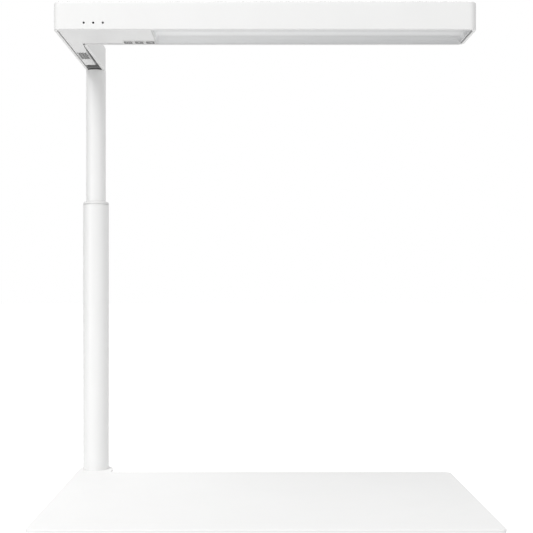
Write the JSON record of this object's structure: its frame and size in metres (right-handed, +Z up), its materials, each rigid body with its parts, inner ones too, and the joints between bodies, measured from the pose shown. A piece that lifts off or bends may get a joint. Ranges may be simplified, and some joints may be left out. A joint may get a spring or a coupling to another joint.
{
  "type": "tabletop light",
  "caption": "Free-standing table light: thin base plate, telescopic post at its rear left corner and a flat L-shaped head with a long diffuser, push buttons and indicator pinholes.",
  "frame": {"origin": "on the ground, under the centre of the footprint's bounding box", "axes": "+Z up the post, +Y from the front edge of the plate to the rear, +X to the right as seen from the front"},
  "size_m": [0.36, 0.2644, 0.4165],
  "materials": {
    "white_paint": "satin white powder coat",
    "white_plastic": "fine satin white moulding",
    "opal_diffuser": "frosted opal sheet",
    "black_plastic": "matte black moulding",
    "liner_film": "matte grey film",
    "smoked_plastic": "smoked clear light guide",
    "grey_rubber": "matte grey rubber and foam",
    "cast_metal": "die cast, as cast",
    "steel": "zinc plated",
    "aluminium": "mill finish sheet",
    "circuit_board": "white solder mask",
    "wire_sheath": "light grey sheath"
  },
  "bodies": {
    "stand": {"base_plate": "white_paint", "foot_pad_1": "grey_rubber", "foot_pad_2": "grey_rubber", "foot_pad_3": "grey_rubber", "foot_pad_4": "grey_rubber", "foot_pad_5": "grey_rubber", "foot_pad_6": "grey_rubber", "post_screw": "steel", "foot_plug": "steel", "outer_tube": "white_paint", "guide_bush": "white_plastic"},
    "mast": {"inner_tube": "white_paint", "lower_guide": "black_plastic", "brake_ring": "grey_rubber", "swivel_spigot": "steel", "swivel_washer": "black_plastic", "spring_washer": "steel", "swivel_screw": "steel"},
    "head": {"head_shell": "white_plastic", "head_frame": "aluminium", "socket_block": "cast_metal", "frame_screw_1": "steel", "frame_screw_2": "steel", "frame_screw_3": "steel", "frame_screw_4": "steel", "frame_screw_5": "steel", "socket_screw": "steel", "lower_cover": "white_plastic", "dust_screen": "black_plastic", "arm_liner": "liner_film", "diffuser": "opal_diffuser", "led_tray": "white_plastic", "led_board": "circuit_board", "tray_pad_1": "grey_rubber", "tray_pad_2": "grey_rubber", "control_board": "circuit_board", "board_spacer_1": "steel", "board_spacer_2": "steel", "light_pipe": "smoked_plastic", "power_inlet": "black_plastic", "inlet_wire": "wire_sheath", "led_wire": "wire_sheath", "switch_1": "black_plastic", "switch_2": "black_plastic", "switch_3": "black_plastic"},
    "button_left": {"button_1": "white_plastic", "plunger_1": "black_plastic"},
    "button_middle": {"button_2": "white_plastic", "plunger_2": "black_plastic"},
    "button_right": {"button_3": "white_plastic", "plunger_3": "black_plastic"}
  },
  "joints": [
    {"name": "height_slide", "type": "slide", "parent": "stand", "child": "mast", "axis": [0, 0, 1], "range_m": [-0.115, 0.06]},
    {"name": "head_swivel", "type": "hinge", "parent": "mast", "child": "head", "pos_m": [-0.1635, 0.11575, 0.3935], "axis": [0, 0, 1], "range_deg": [-90, 90]},
    {"name": "press_left", "type": "slide", "parent": "head", "child": "button_left", "axis": [0, 0, 1], "range_m": [0, 0.0008], "stiffness_N_per_m": 1200, "springref_m": -0.0005},
    {"name": "press_middle", "type": "slide", "parent": "head", "child": "button_middle", "axis": [0, 0, 1], "range_m": [0, 0.0008], "stiffness_N_per_m": 1200, "springref_m": -0.0005},
    {"name": "press_right", "type": "slide", "parent": "head", "child": "button_right", "axis": [0, 0, 1], "range_m": [0, 0.0008], "stiffness_N_per_m": 1200, "springref_m": -0.0005}
  ]
}
